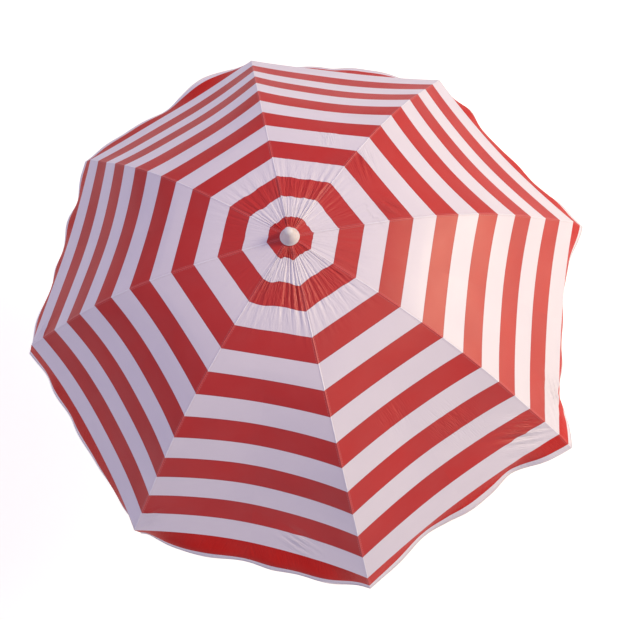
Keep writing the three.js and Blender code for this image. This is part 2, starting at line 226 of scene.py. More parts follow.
def noiseOf(tree, vector, scale, detail=2.0, roughness=0.5):
    node = addNode(tree, "ShaderNodeTexNoise")
    node.inputs["Scale"].default_value = scale
    node.inputs["Detail"].default_value = detail
    node.inputs["Roughness"].default_value = roughness
    tree.links.new(vector, node.inputs["Vector"])
    return node.outputs["Fac"]


# plain weave: threads over and under, with a slub here and there
def makeWeaveGroup():
    group, given, out = newGroup(
        "weave",
        [("Vector", "Vector", None), ("Threads", "Float", 1400.0)],
        [("Height", "Float")],
    )
    apart = addNode(group, "ShaderNodeSeparateXYZ")
    group.links.new(given.outputs["Vector"], apart.inputs[0])
    waves = []
    for axis in ("X", "Y"):
        phase = maths(group, "MULTIPLY", apart.outputs[axis], given.outputs["Threads"])
        waves.append(maths(group, "SINE", maths(group, "MULTIPLY", phase, math.pi)))
    crossing = maths(group, "MULTIPLY", waves[0], waves[1])
    slub = noiseOf(group, given.outputs["Vector"], 90.0, 3.0)
    height = maths(group, "MULTIPLY_ADD", slub, 0.6, maths(group, "MULTIPLY", crossing, 0.4))
    group.links.new(height, out.inputs["Height"])
    return group


# dust and handling marks: a mask that comes and goes in patches
def makeDustGroup():
    group, given, out = newGroup(
        "dust",
        [("Vector", "Vector", None), ("Patch", "Float", 6.0), ("Amount", "Float", 0.5)],
        [("Mask", "Float")],
    )
    node = addNode(group, "ShaderNodeTexNoise")
    node.inputs["Detail"].default_value = 5.0
    group.links.new(given.outputs["Vector"], node.inputs["Vector"])
    group.links.new(given.outputs["Patch"], node.inputs["Scale"])
    spread = maths(group, "MULTIPLY_ADD", node.outputs["Fac"], 2.4, -0.85, clamp=True)
    group.links.new(maths(group, "MULTIPLY", spread, given.outputs["Amount"]), out.inputs["Mask"])
    return group


# wear on edges: where the surface is sharply convex
def makeWearGroup():
    group, given, out = newGroup(
        "edgeWear",
        [("Vector", "Vector", None), ("Amount", "Float", 0.5)],
        [("Mask", "Float")],
    )
    geometry = addNode(group, "ShaderNodeNewGeometry")
    edge = maths(group, "MULTIPLY_ADD", geometry.outputs["Pointiness"], 9.0, -4.75, clamp=True)
    rough = noiseOf(group, given.outputs["Vector"], 160.0, 4.0)
    worn = maths(group, "MULTIPLY", edge, maths(group, "MULTIPLY_ADD", rough, 2.0, -0.4, clamp=True))
    group.links.new(maths(group, "MULTIPLY", worn, given.outputs["Amount"]), out.inputs["Mask"])
    return group


weaveGroup = makeWeaveGroup()
dustGroup = makeDustGroup()
wearGroup = makeWearGroup()

stripes = {
    "red": (0.61, 0.022, 0.016),
    "redPatch": (0.53, 0.016, 0.013),
    "white": (0.82, 0.76, 0.79),
    "whitePatch": (0.77, 0.715, 0.76),
    "edgeThread": (0.30, 0.005, 0.008),
    "edgeWidth": 0.008,      # in stripe widths
    "seamWidth": 0.0028,     # half the width of the raised seam over a rib
    "seamStitch": 0.0042,    # distance of the stitch line from the rib
    "stitchLength": 0.0035,
    # painted highlight: the seam's band is painted lighter than the white and the red cloth along its ridge
    "seamHighlightWhite": (0.93, 0.90, 0.93),
    "seamHighlightRed": (0.74, 0.12, 0.11),
    "stitchTone": (0.80, 0.56, 0.56),
    "creaseWidth": 0.007,
    "creaseLength": 0.06,
}


# striped cloth: UV x is the distance from the rib, UV y the distance from the crown
def makeStripedCloth(name, gloss):
    material, tree, shader = newMaterial(name)
    place = addNode(tree, "ShaderNodeUVMap", uv_map="cloth").outputs["UV"]
    apart = addNode(tree, "ShaderNodeSeparateXYZ")
    tree.links.new(place, apart.inputs[0])
    fromRib, fromCrown = apart.outputs["X"], apart.outputs["Y"]
    count = cloth["stripes"] / cloth["ribLength"]
    wave = maths(tree, "SINE", maths(tree, "MULTIPLY", fromCrown, count * math.pi))
    isRed = maths(tree, "MULTIPLY_ADD", wave, 0.5 / (math.pi * stripes["edgeWidth"]), 0.5, clamp=True)
    offEdge = maths(tree, "DIVIDE", maths(tree, "ABSOLUTE", wave), 0.11)
    edge = maths(tree, "SUBTRACT", 1.0, offEdge, clamp=True)
    patch = noiseOf(tree, place, 5.0, 4.0)
    patch = maths(tree, "MULTIPLY_ADD", patch, 2.2, -0.6, clamp=True)
    weave = placeGroup(tree, weaveGroup, Vector=place, Threads=1400.0)
    red = mixColours(tree, patch, stripes["red"], stripes["redPatch"])
    red = mixColours(tree, maths(tree, "MULTIPLY", edge, 0.7), red, stripes["edgeThread"])
    white = mixColours(tree, patch, stripes["white"], stripes["whitePatch"])
    colour = mixColours(tree, isRed, white, red)
    dust = placeGroup(tree, dustGroup, Vector=place, Patch=9.0, Amount=0.05)
    colour = mixColours(tree, dust.outputs["Mask"], colour, (0.36, 0.32, 0.30))

    # the felled seam over each rib: a raised band with a line of stitches on both sides, painted lighter as a
    # painted highlight along the band
    offRib = maths(tree, "ABSOLUTE", fromRib)
    stitchLine = maths(tree, "COMPARE", offRib, stripes["seamStitch"], 0.0006)
    dash = maths(tree, "PINGPONG", fromCrown, stripes["stitchLength"])
    dash = maths(tree, "GREATER_THAN", dash, stripes["stitchLength"] * 0.35)
    stitch = maths(tree, "MULTIPLY", stitchLine, dash)
    seam = maths(tree, "SUBTRACT", 1.0, maths(tree, "DIVIDE", offRib, stripes["seamWidth"]), clamp=True)
    # painted highlight: the band over the rib gets a lighter colour on white and on red stripes
    seamHighlightTone = mixColours(tree, isRed, stripes["seamHighlightWhite"], stripes["seamHighlightRed"])
    colour = mixColours(tree, maths(tree, "MULTIPLY", seam, 0.8), colour, seamHighlightTone)
    colour = mixColours(tree, maths(tree, "MULTIPLY", stitch, 0.2), colour, stripes["stitchTone"])
    tree.links.new(colour, shader.inputs["Base Color"])

    # fine creases, where the sheet says how strong they are and which way they run
    creasePlace = addNode(tree, "ShaderNodeUVMap", uv_map="creases").outputs["UV"]
    creaseShare = addNode(tree, "ShaderNodeAttribute", attribute_name="creaseShare").outputs["Fac"]
    stretch = addNode(tree, "ShaderNodeMapping")
    stretch.inputs["Scale"].default_value = (1 / stripes["creaseWidth"], 1 / stripes["creaseLength"], 1)
    tree.links.new(creasePlace, stretch.inputs["Vector"])
    crease = noiseOf(tree, stretch.outputs["Vector"], 1.0, 2.0)
    crease = maths(tree, "ABSOLUTE", maths(tree, "SUBTRACT", crease, 0.5))
    crease = maths(tree, "MULTIPLY", maths(tree, "MULTIPLY", crease, -11.0), creaseShare)

    height = maths(tree, "MULTIPLY_ADD", weave.outputs["Height"], 0.12, maths(tree, "MULTIPLY", stitch, 0.5))
    height = maths(tree, "ADD", height, maths(tree, "MULTIPLY", seam, 1.6))
    height = maths(tree, "ADD", height, crease)
    bump = addNode(tree, "ShaderNodeBump")
    bump.inputs["Strength"].default_value = 0.8
    bump.inputs["Distance"].default_value = 0.0008
    tree.links.new(height, bump.inputs["Height"])
    tree.links.new(bump.outputs["Normal"], shader.inputs["Normal"])
    rough = maths(tree, "MULTIPLY_ADD", patch, 0.08, 0.50)
    tree.links.new(rough, shader.inputs["Roughness"])
    shader.inputs["Specular IOR Level"].default_value = gloss
    return material


# moulded plastic with faint flow marks, dust and rubbed edges
def makePlastic(name, colour, roughness):
    material, tree, shader = newMaterial(name)
    place = addNode(tree, "ShaderNodeTexCoord").outputs["Object"]
    flow = noiseOf(tree, place, 35.0, 3.0)
    dark = tuple(c * 0.86 for c in colour)
    base = mixColours(tree, flow, colour, dark)
    dust = placeGroup(tree, dustGroup, Vector=place, Patch=28.0, Amount=0.22)
    base = mixColours(tree, dust.outputs["Mask"], base, (0.62, 0.58, 0.52))
    wear = placeGroup(tree, wearGroup, Vector=place, Amount=0.35)
    light = tuple(min(1.0, c * 1.1 + 0.04) for c in colour)
    base = mixColours(tree, wear.outputs["Mask"], base, light)
    tree.links.new(base, shader.inputs["Base Color"])
    rough = maths(tree, "MULTIPLY_ADD", dust.outputs["Mask"], 0.6, roughness)
    tree.links.new(maths(tree, "MULTIPLY_ADD", flow, 0.08, rough), shader.inputs["Roughness"])
    bump = addNode(tree, "ShaderNodeBump")
    bump.inputs["Strength"].default_value = 0.12
    bump.inputs["Distance"].default_value = 0.0004
    tree.links.new(noiseOf(tree, place, 900.0, 2.0), bump.inputs["Height"])
    tree.links.new(bump.outputs["Normal"], shader.inputs["Normal"])
    shader.inputs["Subsurface Weight"].default_value = 0.08
    shader.inputs["Subsurface Radius"].default_value = (0.004, 0.003, 0.002)
    return material


steelTones = {
    "bright": (0.56, 0.57, 0.60),
    "drawn": (0.44, 0.45, 0.48),
    "spots": (0.30, 0.27, 0.24),
    "worn": (0.75, 0.76, 0.78),
}


# plated steel wire and tube: drawn along its length, with dull spots
def makeSteel():
    material, tree, shader = newMaterial("platedSteel")
    place = addNode(tree, "ShaderNodeTexCoord").outputs["Object"]
    drawn = noiseOf(tree, place, 420.0, 2.0)
    spots = placeGroup(tree, dustGroup, Vector=place, Patch=60.0, Amount=0.5)
    base = mixColours(tree, drawn, steelTones["bright"], steelTones["drawn"])
    base = mixColours(tree, spots.outputs["Mask"], base, steelTones["spots"])
    wear = placeGroup(tree, wearGroup, Vector=place, Amount=0.6)
    base = mixColours(tree, wear.outputs["Mask"], base, steelTones["worn"])
    tree.links.new(base, shader.inputs["Base Color"])
    tree.links.new(maths(tree, "MULTIPLY_ADD", spots.outputs["Mask"], 0.4, 0.28), shader.inputs["Roughness"])
    shader.inputs["Metallic"].default_value = 0.95
    bump = addNode(tree, "ShaderNodeBump")
    bump.inputs["Strength"].default_value = 0.1
    bump.inputs["Distance"].default_value = 0.0002
    tree.links.new(drawn, bump.inputs["Height"])
    tree.links.new(bump.outputs["Normal"], shader.inputs["Normal"])
    return material


tubeTones = {
    "paint": (0.82, 0.81, 0.79),
    "mottle": (0.76, 0.75, 0.74),
    "sand": (0.55, 0.47, 0.36),
    "scratch": (0.40, 0.40, 0.41),
}


# white stove paint on the pole's tubes, scratched and sanded near the ground
def makeTubePaint():
    material, tree, shader = newMaterial("whiteTubePaint")
    place = addNode(tree, "ShaderNodeTexCoord").outputs["Object"]
    apart = addNode(tree, "ShaderNodeSeparateXYZ")
    tree.links.new(place, apart.inputs[0])
    peel = noiseOf(tree, place, 700.0, 2.0)
    stretch = addNode(tree, "ShaderNodeMapping")
    stretch.inputs["Scale"].default_value = (1.0, 1.0, 0.05)
    tree.links.new(place, stretch.inputs["Vector"])
    streak = noiseOf(tree, stretch.outputs["Vector"], 300.0, 3.0)
    low = maths(tree, "SUBTRACT", 1.0, maths(tree, "DIVIDE", apart.outputs["Z"], 0.5), clamp=True)
    scratch = maths(tree, "MULTIPLY_ADD", streak, 6.0, -3.9, clamp=True)
    scratch = maths(tree, "MULTIPLY", scratch, maths(tree, "MULTIPLY_ADD", low, 0.8, 0.15))
    base = mixColours(tree, peel, tubeTones["paint"], tubeTones["mottle"])
    dust = placeGroup(tree, dustGroup, Vector=place, Patch=14.0, Amount=0.35)
    base = mixColours(tree, maths(tree, "MULTIPLY", dust.outputs["Mask"], low), base, tubeTones["sand"])
    base = mixColours(tree, scratch, base, tubeTones["scratch"])
    tree.links.new(base, shader.inputs["Base Color"])
    tree.links.new(maths(tree, "MULTIPLY_ADD", scratch, 0.3, 0.26), shader.inputs["Roughness"])
    bump = addNode(tree, "ShaderNodeBump")
    bump.inputs["Strength"].default_value = 0.08
    bump.inputs["Distance"].default_value = 0.0003
    tree.links.new(peel, bump.inputs["Height"])
    tree.links.new(bump.outputs["Normal"], shader.inputs["Normal"])
    return material


canopyMaterial = makeStripedCloth("canopyCloth", gloss=0.9)
valanceMaterial = makeStripedCloth("valanceCloth", gloss=0.08)
whitePlastic = makePlastic("whitePlastic", (0.83, 0.80, 0.76), 0.34)
redPlastic = makePlastic("redPlastic", (0.42, 0.02, 0.02), 0.38)
pipingMaterial = makePlastic("whitePiping", (0.82, 0.79, 0.80), 0.6)
steel = makeSteel()
tubePaint = makeTubePaint()
print("materials made")


# what differs from panel to panel, from the one after rib 1 anticlockwise
panels = [
    {"gather": 0.35, "flare": 46, "edgeFlare": 24, "pull": 1.15, "sag": 0.4, "slip": 0.0008},
    {"gather": 1.00, "flare": 40, "edgeFlare": 48, "pull": 0.2, "sag": 0.7, "slip": -0.0012},
    {"gather": 0.65, "flare": 60, "edgeFlare": 58, "pull": 0.1, "sag": 0.7, "slip": 0.0010},
    {"gather": 0.30, "flare": 42, "edgeFlare": 30, "pull": 0.35, "sag": 0.7, "slip": -0.0006},
    {"gather": 0.22, "flare": 40, "edgeFlare": 22, "pull": 1.0, "sag": 0.5, "slip": 0.0012},
    {"gather": 1.00, "flare": 62, "edgeFlare": 28, "pull": 1.0, "sag": 0.7, "slip": -0.0010},
    {"gather": 0.85, "flare": 15, "edgeFlare": 34, "pull": 0.5, "sag": 0.7, "slip": 0.0005},
    {"gather": 0.35, "flare": 16, "edgeFlare": 8, "pull": 0.5, "sag": 0.5, "slip": -0.0014},
]
ribFlares = [38, 22, 38, 42, 30, 8, 24, 44]    # how far the valance stands out at each rib, in degrees

# pinched places: distance from the crown, azimuth and reach, the lean of the creases, their height
crumples = [
    {"s": 0.93, "azimuth": -50, "reach": 0.13, "lean": 62, "height": 0.0030, "fine": 1.0},
    {"s": 0.76, "azimuth": -60, "reach": 0.11, "lean": 8, "height": 0.0010, "fine": 0.8},
    {"s": 0.62, "azimuth": -72, "reach": 0.09, "lean": 5, "height": 0.0008, "fine": 0.45},
    {"s": 0.97, "azimuth": -38, "reach": 0.10, "lean": -62, "height": 0.0026, "fine": 0.8},
    {"s": 0.34, "azimuth": 38, "reach": 0.08, "lean": 70, "height": 0.0020, "fine": 0.9},
    {"s": 0.31, "azimuth": 8, "reach": 0.08, "lean": -60, "height": 0.0022, "fine": 0.9},
    {"s": 0.40, "azimuth": 62, "reach": 0.07, "lean": 20, "height": 0.0012, "fine": 0.6},
    {"s": 0.96, "azimuth": -103, "reach": 0.08, "lean": 66, "height": 0.0020, "fine": 0.7},
    {"s": 0.95, "azimuth": 227, "reach": 0.07, "lean": -60, "height": 0.0020, "fine": 0.7},
    {"s": 0.95, "azimuth": 178, "reach": 0.07, "lean": 60, "height": 0.0016, "fine": 0.5},
]


def slopeAt(s):
    part = (s - cloth["bendStart"]) / (cloth["bendEnd"] - cloth["bendStart"])
    return math.radians(mix(cloth["crownSlope"], cloth["hemSlope"], max(0.0, min(1.0, part))))


# radius and height of the cloth over a rib
def overRib(s):
    crown, hem = math.radians(cloth["crownSlope"]), math.radians(cloth["hemSlope"])
    turn = (crown - hem) / (cloth["bendEnd"] - cloth["bendStart"])
    slope = slopeAt(s)
    first, last = min(s, cloth["bendStart"]), max(s - cloth["bendEnd"], 0.0)
    radius = first * math.sin(crown) + (math.cos(slope) - math.cos(crown)) / turn + last * math.sin(hem)
    drop = first * math.cos(crown) - (math.sin(slope) - math.sin(crown)) / turn + last * math.cos(hem)
    return radius, cloth["crownHeight"] - drop


def panelAt(rib, across):
    return panels[(rib - 1 if across >= 0 else rib - 2) % len(panels)]


# the smooth cloth: across runs from -1 to 1, with 0 on the rib
def smoothPoint(rib, s, across):
    side = 1 if across >= 0 else -1
    away = abs(across)
    radius, height = overRib(s)
    slope = slopeAt(s)
    outer = max(0.0, min(1.0, (s - 0.35) / 0.65))
    pull = cloth["pullIn"] * outer ** 1.2 * panelAt(rib, across)["pull"]
    sag = cloth["sag"] * math.sin(math.pi * max(s - 0.4, 0.0) / 0.7) * panelAt(rib, across)["sag"]
    weight = 2 * away - away * away
    inward = weight * (pull * math.sin(slope) + sag * math.cos(slope))
    upward = weight * (pull * math.cos(slope) - sag * math.sin(slope))
    sine, cosine = math.sin(halfPanel), math.cos(halfPanel)
    x = radius * (1 - away * sine * sine) - inward * cosine
    y = side * (away * radius * sine * cosine - inward * sine)
    return Vector((x, y, height + upward))


# how strongly a pinched place works here, and the place across and along its creases
def creaseRun(fold, s, azimuth):
    off = math.remainder(azimuth - math.radians(fold["azimuth"]), 2 * math.pi) * s
    along = s - fold["s"]
    near = math.exp(-(off * off + along * along) / (fold["reach"] * 0.6) ** 2)
    lean = math.radians(fold["lean"])
    across = off * math.cos(lean) - along * math.sin(lean)
    return near, across, off * math.sin(lean) + along * math.cos(lean)


gathers = {
    "from": 0.02,           # distances from the crown
    "full": 0.05,
    "fadeFrom": 0.16,
    "fadeTo": 0.34,
    "height": 0.0024,
    "fineHeight": 0.0009,
    "rollHeight": 0.0035,   # slow waves of the whole cloth
    "pinch": 1.4,           # how much of a pinched place's height its creases take
}


def gatherShare(s, panel):
    rising = smooth(gathers["from"], gathers["full"], s)
    fading = 1 - smooth(gathers["fadeFrom"], gathers["fadeTo"], s)
    return rising * fading * panel["gather"]


# height of creases and gathers above the smooth cloth
def creaseHeight(s, azimuth, panel):
    around = Vector((math.cos(azimuth), math.sin(azimuth), 0))
    gather = gatherShare(s, panel)
    height = 0.0
    if gather > 0:
        ridge = 1 - abs(noise.noise(around * 15 + Vector((0, 0, s * 1.2)))) * 3
        fine = 1 - abs(noise.noise(around * 31 + Vector((5, 3, s * 2.0)))) * 3
        height += gather * (gathers["height"] * max(ridge, -0.3) + gathers["fineHeight"] * fine)
    roll = noise.noise(around * 3.1 + Vector((0, 0, s * 1.1)))
    height += gathers["rollHeight"] * roll * smooth(0.3, 0.8, s)
    for fold in crumples:
        near, across, run = creaseRun(fold, s, azimuth)
        if near > 0.02:
            wrinkle = 1 - abs(noise.noise(Vector((across * 42, run * 7, fold["s"] * 9)))) * 3
            height += gathers["pinch"] * fold["height"] * near * wrinkle
    return height


# the fine creases at a point: their strength, and the place across and along them
def fineCreases(s, azimuth, panel):
    best = (0.9 * gatherShare(s, panel), azimuth * 0.13, s)
    for fold in crumples:
        near, across, run = creaseRun(fold, s, azimuth)
        best = max(best, (near * fold["fine"], across + fold["s"], run))
    return best


# a point of the creased cloth, in the rib's own frame
def clothPoint(rib, s, across):
    azimuth = (rib - 1) * 2 * halfPanel + across * halfPanel
    base = smoothPoint(rib, s, across)
    run = smoothPoint(rib, s + 0.001, across) - smoothPoint(rib, s - 0.001, across)
    turn = halfPanel * across
    sideways = Vector((-math.sin(turn), math.cos(turn), 0))
    normal = run.cross(sideways).normalized()
    return base + normal * creaseHeight(s, azimuth, panelAt(rib, across))


# outward directions across a grid of points, whose first and last rows and columns are only there to help
def gridNormals(points):
    normals = []
    for before, line, after in zip(points, points[1:], points[2:]):
        row = []
        for j in range(1, len(line) - 1):
            row.append((after[j] - before[j]).cross(line[j + 1] - line[j - 1]).normalized())
        normals.append(row)
    return normals


# a sheet from a grid of points: two skins joined round the edge, with the place on the cloth as UV
def makeSheet(name, outer, normals, places, creases, rib, material):
    rows, columns = len(outer), len(outer[0])
    spin = Matrix.Rotation((rib - 1) * 2 * halfPanel, 3, "Z")
    outside = [spin @ p for line in outer for p in line]
    facing = [spin @ n for line in normals for n in line]
    inside = [p - n * cloth["thickness"] for p, n in zip(outside, facing)]
    half = rows * columns

    def at(i, j, skin):
        return skin * half + i * columns + j

    faces, slips = [], []
    for i in range(rows - 1):
        for j in range(columns - 1):
            slip = panelAt(rib, 1 if j >= columns // 2 else -1)["slip"]
            faces.append((at(i, j, 0), at(i + 1, j, 0), at(i + 1, j + 1, 0), at(i, j + 1, 0)))
            faces.append((at(i, j, 1), at(i, j + 1, 1), at(i + 1, j + 1, 1), at(i + 1, j, 1)))
            slips += [slip, slip]
    border = [(0, j) for j in range(columns)] + [(i, columns - 1) for i in range(1, rows)]
    border += [(rows - 1, j) for j in range(columns - 2, -1, -1)] + [(i, 0) for i in range(rows - 2, 0, -1)]
    for a, b in zip(border, border[1:] + border[:1]):
        faces.append((at(*a, 0), at(*b, 0), at(*b, 1), at(*a, 1)))
        slips.append(0)
    mesh = bpy.data.meshes.new(name)
    mesh.from_pydata(outside + inside, [], faces)
    placeLayer = mesh.uv_layers.new(name="cloth")
    creaseLayer = mesh.uv_layers.new(name="creases")
    strength = mesh.attributes.new("creaseShare", "FLOAT", "POINT")
    flatPlaces = [place for line in places for place in line]
    flatCreases = [crease for line in creases for crease in line]
    strength.data.foreach_set("value", [crease[0] for crease in flatCreases] * 2)
    for polygon, slip in zip(mesh.polygons, slips):
        for loop in polygon.loop_indices:
            index = mesh.loops[loop].vertex_index % half
            placeLayer.data[loop].uv = (flatPlaces[index][0], flatPlaces[index][1] + slip)
            creaseLayer.data[loop].uv = flatCreases[index][1:]
    mesh.polygons.foreach_set("use_smooth", [True] * len(mesh.polygons))
    mesh.normals_split_custom_set_from_vertices(facing + [-n for n in facing])
    sheet = bpy.data.objects.new(name, mesh)
    scene.collection.objects.link(sheet)
    mesh.materials.append(material)
    return sheet


def foldWithRib(piece, rib):
    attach(piece, f"rib_{rib}")
    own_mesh(piece)


def finishSheet(piece, rib, nodeName):
    foldWithRib(piece, rib)
    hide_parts(nodeName)


# columns crowd towards the rib, and one more stands beyond each edge
def spreadColumns(count):
    values = [2 * j / count - 1 for j in range(-1, count + 2)]
    return [math.copysign(abs(v) ** 1.3, v) for v in values]


def makeGore(rib):
    across = spreadColumns(cloth["columns"])
    lengths, rows = cloth["lengths"], cloth["rowsPerLength"]
    step = cloth["ribLength"] / lengths / rows
    stations = [i * step for i in range(-1, lengths * rows + 2)]
    clamped = [i for i, s in enumerate(stations) if s < cloth["patch"]]
    for i in clamped:
        stations[i] = cloth["patch"] + (i - 1) * 0.001
    grid = [[clothPoint(rib, s, a) for a in across] for s in stations]
    normals = gridNormals(grid)
    outer = [line[1:-1] for line in grid[1:-1]]
    places, creases = [], []
    for s, line in zip(stations[1:-1], outer):
        placeLine, creaseLine = [], []
        for a, p in zip(across[1:-1], line):
            azimuth = (rib - 1 + a / 2) * 2 * halfPanel
            around = Vector((math.cos(azimuth), math.sin(azimuth), 0))
            waver = noise.noise(around * 5 + Vector((0, 0, 3 * s)))
            drift = cloth["drift"] * gatherShare(s, panelAt(rib, a)) * waver
            placeLine.append((p.y, s + (cloth["shift"] + drift) * (1 - s)))
            creaseLine.append(fineCreases(s, azimuth, panelAt(rib, a)))
        places.append(placeLine)
        creases.append(creaseLine)
    for part in range(lengths):
        rowsHere = slice(part * rows, (part + 1) * rows + 1)
        grids = [grid[rowsHere] for grid in (outer, normals, places, creases)]
        piece = makeSheet(f"canopy_{rib}_{part + 1}", *grids, rib, canopyMaterial)
        finishSheet(piece, rib, f"gore_{rib}")


patch = {
    "below": 0.0014,       # how far it lies under the gores
    "step": 0.003,         # from row to row
    "rows": 8,
    "columnsPerSide": 4,
    "areaShare": 0.75,     # of the square round it
}


# the round patch of cloth that the knob clamps to the mast, just below the gores' inner ends
def makePatch():
    pieces = []
    for rib in ribNumbers:
        side = patch["columnsPerSide"]
        across = [j / side for j in range(-side - 1, side + 2)]
        stations = [cloth["crownHole"] + i * patch["step"] for i in range(-1, patch["rows"] + 1)]
        down = Vector((0, 0, patch["below"]))
        grid = [[clothPoint(rib, s, a) - down for a in across] for s in stations]
        normals = gridNormals(grid)
        outer = [line[1:-1] for line in grid[1:-1]]
        places = [[(p.y, s) for p in line] for s, line in zip(stations[1:-1], outer)]
        creases = [[(0.2, p.y, s) for p in line] for s, line in zip(stations[1:-1], outer)]
        pieces.append(makeSheet(f"crownPatch_{rib}", outer, normals, places, creases, rib, canopyMaterial))
    clear()
    for piece in pieces:
        piece.select_set(True)
    bpy.context.view_layer.objects.active = pieces[0]
    bpy.ops.object.join()
    whole = pieces[0]
    whole.name = "crownPatch"
    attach(whole, "mast")


# the valance: a red band that flares out and a white one that turns down, with a piped edge
valance = {
    "red": 0.064,
    "white": 0.023,
    "ripple": 8,           # degrees that the cloth waves in and out
    "rows": 14,
    "pipe": 0.0022,
}


# one line of the valance, from the hem down; one more point stands before and after it
def valanceLine(rib, across):
    azimuth = (rib - 1) * 2 * halfPanel + across * halfPanel
    panel = panelAt(rib, across)
    weight = smooth(0.0, 0.55, 1 - abs(abs(across) - 1))
    around = Vector((math.cos(azimuth), math.sin(azimuth), 0))
    ripple = valance["ripple"] * noise.noise(around * 6.3) * 2 * weight
    turn = halfPanel * across
    outward = Vector((math.cos(turn), math.sin(turn), 0))
    flare = mix(ribFlares[rib - 1], panel["flare"], weight) + ripple
    edgeFlare = mix(ribFlares[rib - 1], panel["edgeFlare"], weight) + 1.5 * ripple
    total = valance["red"] + valance["white"]
    stripeWidth = cloth["ribLength"] / cloth["stripes"]
    hem = clothPoint(rib, cloth["ribLength"], across)
    point = hem
    points, places = [], []
    for i in range(-1, valance["rows"] + 2):
        t = i / valance["rows"]
        angle = math.radians(mix(flare, edgeFlare, smooth(0.5, 0.9, t)))
        step = (outward * math.sin(angle) - Vector((0, 0, math.cos(angle)))) * total / valance["rows"]
        point = point + step if i > 0 else hem + step * i
        down = t * total
        share = down / valance["red"] if down < valance["red"] else 1 + (down - valance["red"]) / stripeWidth
        points.append(point)
        places.append((point.y, cloth["ribLength"] + share * stripeWidth))
    return points, places


def makeValance(rib):
    lines = [valanceLine(rib, a) for a in spreadColumns(cloth["columns"])]
    rows = range(len(lines[0][0]))
    grid = [[points[i] for points, places in lines] for i in rows]
    normals = gridNormals(grid)
    outer = [line[1:-1] for line in grid[1:-1]]
    places = [[places[i] for points, places in lines[1:-1]] for i in rows][1:-1]
    creases = [[(0.35, p.y, i * 0.006) for p in line] for i, line in enumerate(outer)]
    piece = makeSheet(f"valanceCloth_{rib}", outer, normals, places, creases, rib, valanceMaterial)
    finishSheet(piece, rib, f"valance_{rib}")
    makePiping(rib, outer[-1])


# a curve along some points, turned into a round mesh
def makeBead(name, points, radius, material):
    curve = bpy.data.curves.new(name, "CURVE")
    curve.dimensions = "3D"
    curve.bevel_depth = radius
    curve.bevel_resolution = 2
    curve.use_fill_caps = True
    spline = curve.splines.new("POLY")
    spline.points.add(len(points) - 1)
    for target, p in zip(spline.points, points):
        target.co = (*p, 1)
    bead = bpy.data.objects.new(name, curve)
    scene.collection.objects.link(bead)
    clear()
    bead.select_set(True)
    bpy.context.view_layer.objects.active = bead
    bpy.ops.object.convert(target="MESH")
    bead = bpy.context.object
    bead.data.materials.clear()
    bead.data.materials.append(material)
    bpy.ops.object.shade_smooth()
    return bead


def makePiping(rib, edge):
    spin = Matrix.Rotation((rib - 1) * 2 * halfPanel, 3, "Z")
    bead = makeBead(f"valancePiping_{rib}", [spin @ p for p in edge], valance["pipe"], pipingMaterial)
    foldWithRib(bead, rib)


# a turned solid: the outline's [radius, height] points are spun round the pole's axis
def turnPiece(name, outline, steps=64):
    clear()
    mesh = bpy.data.meshes.new(name)
    piece = bpy.data.objects.new(name, mesh)
    scene.collection.objects.link(piece)
    piece.select_set(True)
    bpy.context.view_layer.objects.active = piece
    shape = bmesh.new()
    ring = [shape.verts.new((radius, 0, height)) for radius, height in outline]
    for a, b in zip(ring, ring[1:]):
        shape.edges.new((a, b))
    shape.to_mesh(mesh)
    shape.free()
    bpy.ops.object.mode_set(mode="EDIT")
    bpy.ops.mesh.select_all(action="SELECT")
    bpy.ops.mesh.spin(steps=steps, angle=2 * math.pi, center=(0, 0, 0), axis=(0, 0, 1))
    bpy.ops.mesh.select_all(action="SELECT")
    bpy.ops.mesh.remove_doubles(threshold=0.00001)
    bpy.ops.mesh.normals_make_consistent(inside=False)
    bpy.ops.object.mode_set(mode="OBJECT")
    bpy.ops.object.shade_smooth_by_angle(angle=math.radians(35))
    return piece


def finishPiece(piece, material, body, slotName, *replaced):
    piece.data.materials.clear()
    piece.data.materials.append(material)
    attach(piece, body)
    if replaced:
        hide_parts(*replaced)


knob = {
    "radius": 0.0272,
    "height": 0.041,
    "stud": 0.004,
    "studDepth": 0.028,    # how far the stud goes down into the mast
    "lip": 0.0018,         # radius of the rolled foot
    "gap": 0.0006,         # between the knob and the cloth
    "top": 0.0135,         # radius where the rounded top starts
    "topHeight": 0.012,
}


# the crown knob: a blunt cone with a rolled foot
def makeFinial():
    crown = cloth["crownHeight"]
    rise = math.cos(math.radians(cloth["crownSlope"])) / math.sin(math.radians(cloth["crownSlope"]))
    lip, stud, top = knob["lip"], knob["stud"], knob["top"]
    foot = crown + knob["gap"] - knob["radius"] * rise
    studFoot = crown - knob["studDepth"]
    outline = [(0.0, studFoot), (stud, studFoot), (stud, crown - stud * rise + knob["gap"])]
    for i in range(9):
        a = math.pi * i / 8
        outline.append((knob["radius"] - lip + lip * math.sin(a), foot + lip - lip * math.cos(a)))
    shoulder = crown + knob["height"] - knob["topHeight"]
    for i in range(1, 10):
        t = i / 9
        outline.append((mix(knob["radius"] - 0.003, top, t ** 0.9), mix(foot + 0.0045, shoulder, t)))
    for i in range(1, 11):
        a = math.pi / 2 * i / 10
        outline.append((top * math.cos(a), shoulder + knob["topHeight"] * math.sin(a)))
    piece = turnPiece("crownKnob", outline)
    finishPiece(piece, whitePlastic, "mast", "white_plastic", "finial")


# one turned tube or fitting, from its outline, its material, the body it rides on and what it replaces
def makeTurned(name, outline, material, body, slotName, *replaced):
    piece = turnPiece(name, outline)
    clear()
    piece.select_set(True)
    bpy.context.view_layer.objects.active = piece
    bevel = piece.modifiers.new("bevel", "BEVEL")
    bevel.width = 0.0005
    bevel.segments = 2
    bevel.limit_method = "ANGLE"
    bevel.angle_limit = math.radians(50)
    bpy.ops.object.modifier_apply(modifier="bevel")
    finishPiece(piece, material, body, slotName, *replaced)
    return piece


tube = {
    "wall": 0.001,
    "rolled": 0.0012,    # height of the rolled lip
}


